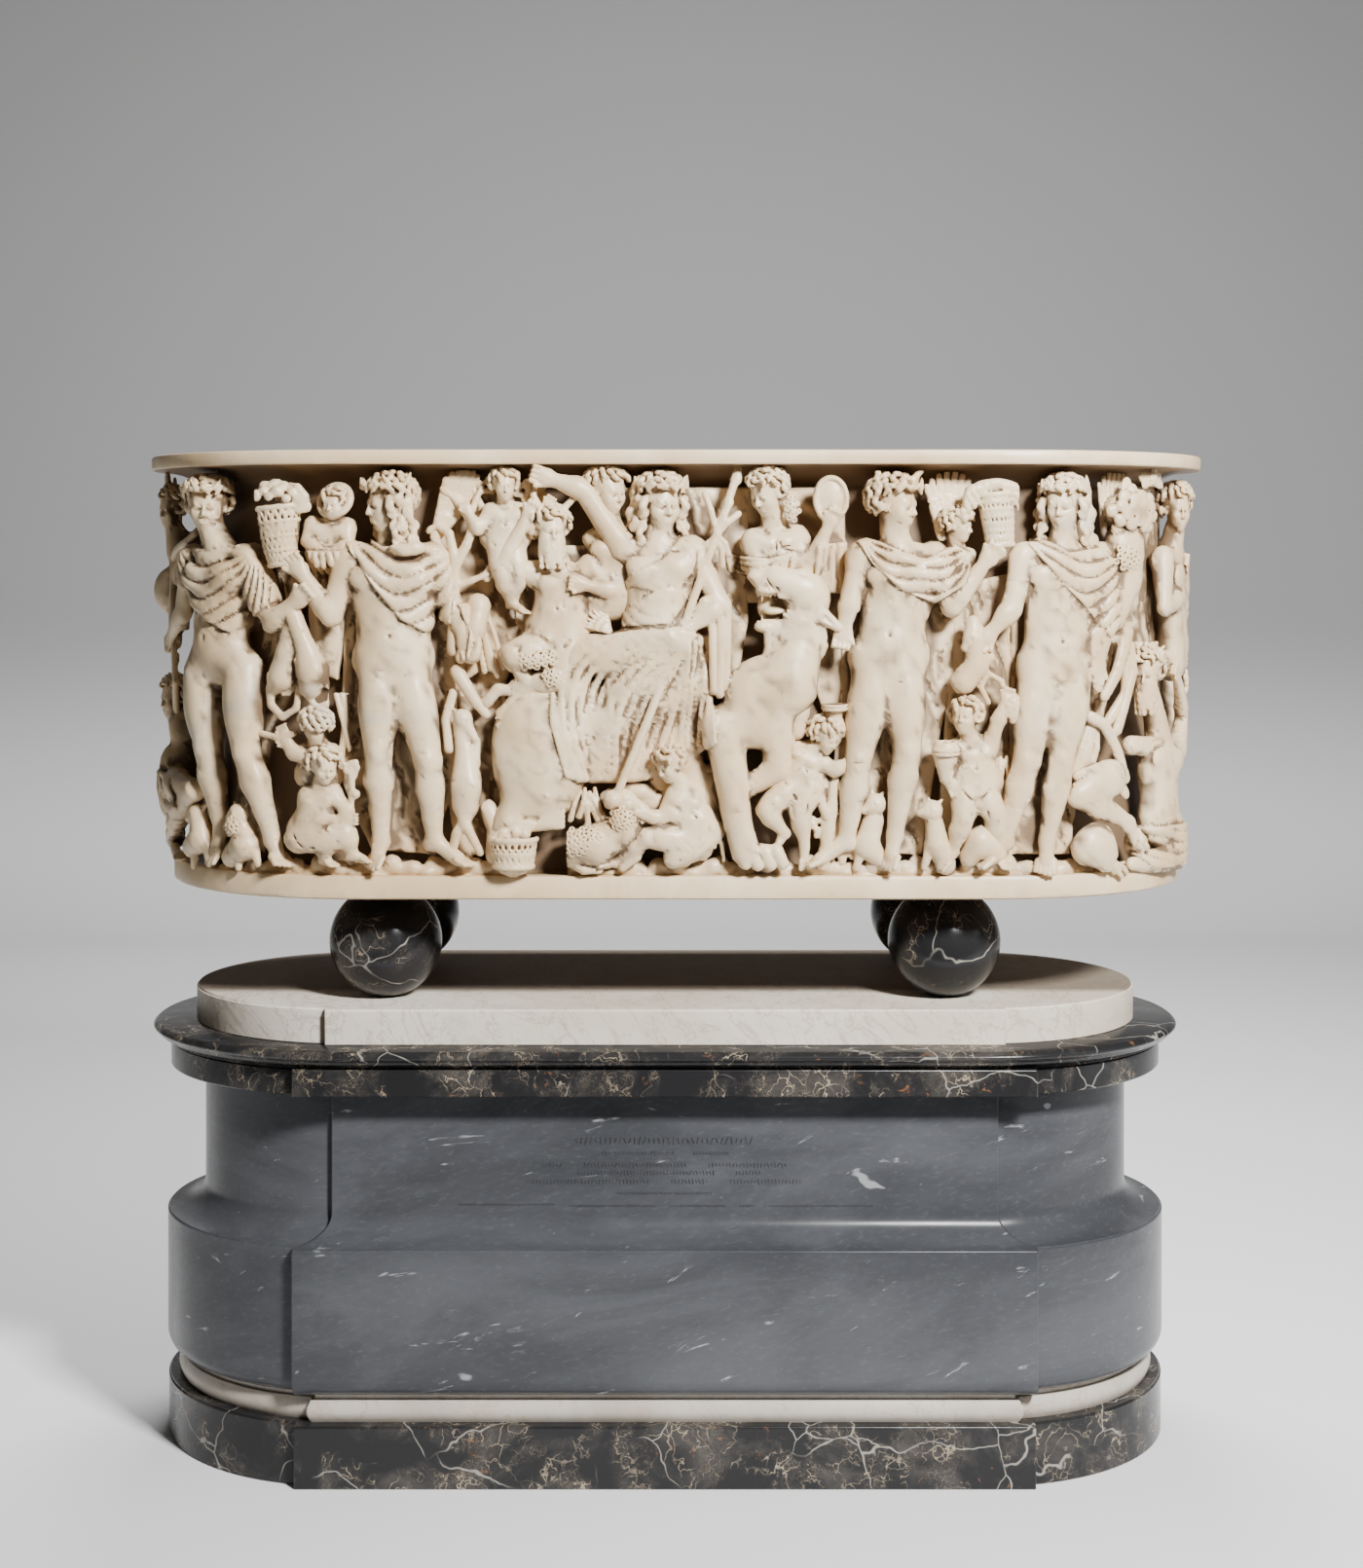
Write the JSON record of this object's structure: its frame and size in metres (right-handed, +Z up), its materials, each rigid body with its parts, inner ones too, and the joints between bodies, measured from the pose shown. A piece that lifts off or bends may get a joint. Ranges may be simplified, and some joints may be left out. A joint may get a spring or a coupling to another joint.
{
  "type": "stone sarcophagus on a pedestal",
  "caption": "Roman tub sarcophagus with round ends, carved all round in high relief, on four stone balls over a stepped pedestal of black, white and grey marble.",
  "frame": {"origin": "centre of the pedestal's underside, on the floor", "axes": "+Z up, +X along the length to the viewer's right, front towards -Y"},
  "size_m": [2.1046, 0.9374, 1.915],
  "materials": {
    "relief_marble": "warm cream marble, softly polished on the forms, brown dirt in the hollows",
    "black_gold": "polished black marble with gold, orange and white veins",
    "veined_white": "honed white marble with tan and grey veins",
    "grey": "polished blue-grey marble with slanting white streaks"
  },
  "bodies": {
    "root": {"plinth_centre": "black_gold", "plinth_left_end": "black_gold", "plinth_right_end": "black_gold", "torus_centre": "veined_white", "torus_left_end": "veined_white", "torus_right_end": "veined_white", "block_centre": "grey", "block_left_end": "grey", "block_right_end": "grey", "die_centre": "grey", "die_left_end": "grey", "die_right_end": "grey", "frieze_centre": "black_gold", "frieze_left_end": "black_gold", "frieze_right_end": "black_gold", "slab_centre": "veined_white", "slab_left_end": "veined_white", "slab_right_end": "veined_white", "cornice": "black_gold", "ball_front_left": "black_gold", "ball_front_right": "black_gold", "ball_back_left": "black_gold", "ball_back_right": "black_gold", "sarcophagus": "relief_marble"}
  },
  "joints": []
}
